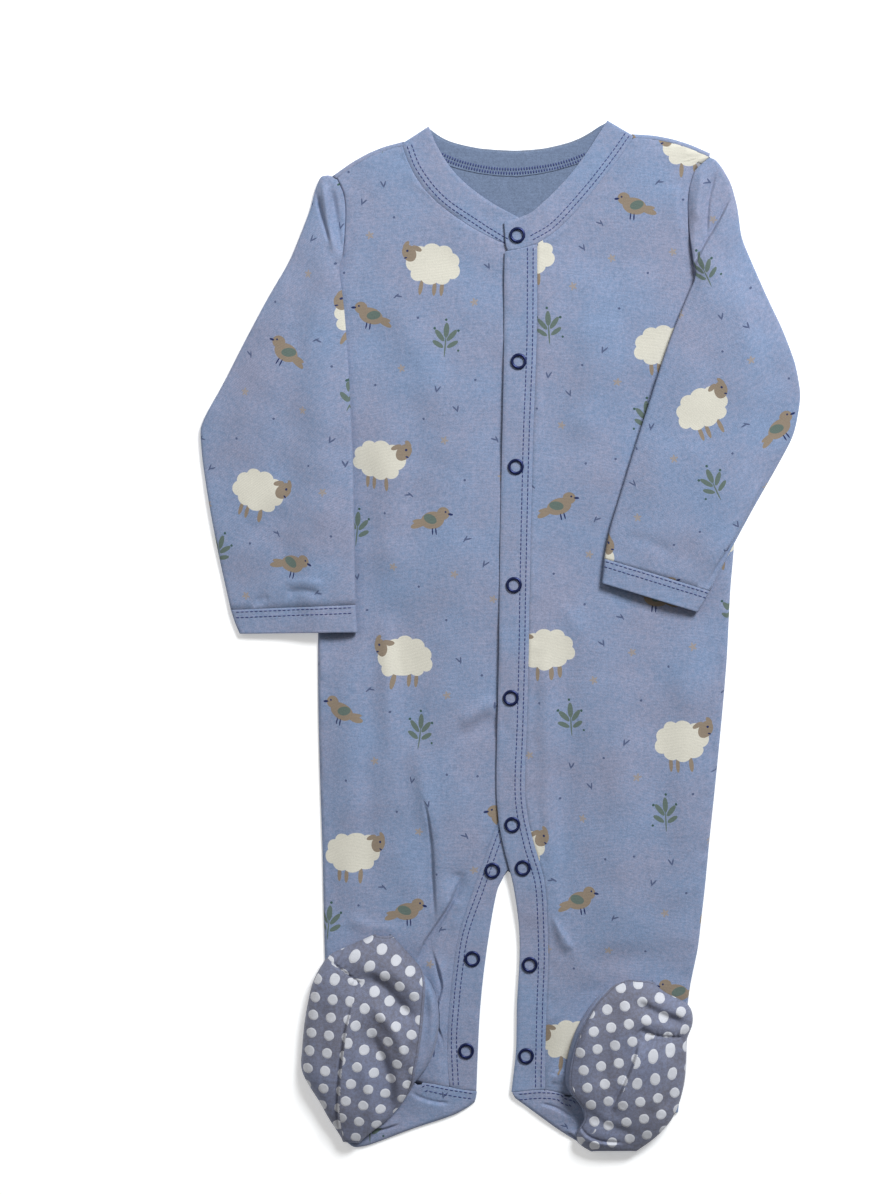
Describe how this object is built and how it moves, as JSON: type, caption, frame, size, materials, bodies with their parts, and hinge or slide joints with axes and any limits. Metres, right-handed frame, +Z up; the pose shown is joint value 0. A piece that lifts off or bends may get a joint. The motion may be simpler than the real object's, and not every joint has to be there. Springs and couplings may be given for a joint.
{
  "type": "footed baby sleepsuit",
  "caption": "Long-sleeved footed baby sleepsuit, lying flat on its back, with an off-centre ring-snap placket that runs on down both legs and its soled feet folded up over the shins.",
  "frame": {"origin": "centre of the garment's outline on the surface that it lies on", "axes": "+X towards the wearer's left arm, +Y towards the neck, +Z up, away from the surface"},
  "size_m": [0.3726, 0.638, 0.0198],
  "materials": {
    "jersey": "printed cotton interlock",
    "sole_cloth": "cotton knit with grip dots",
    "snap_metal": "satin enamel on brass"
  },
  "bodies": {
    "root": {"back_panel": "jersey", "front_right": "jersey", "front_left": "jersey", "sleeve_right": "jersey", "sleeve_left": "jersey", "cuff_right": "jersey", "cuff_left": "jersey", "neckband": "jersey", "placket_front": "jersey", "placket_leg_right": "jersey", "foot_right": "jersey", "foot_left": "jersey", "sole_right": "sole_cloth", "sole_left": "sole_cloth", "heel_right": "jersey", "heel_left": "jersey", "snap_01": "snap_metal", "snap_02": "snap_metal", "snap_03": "snap_metal", "snap_04": "snap_metal", "snap_05": "snap_metal", "snap_06": "snap_metal", "snap_07": "snap_metal", "snap_08": "snap_metal", "snap_09": "snap_metal", "snap_10": "snap_metal", "snap_11": "snap_metal", "snap_12": "snap_metal"}
  },
  "joints": []
}
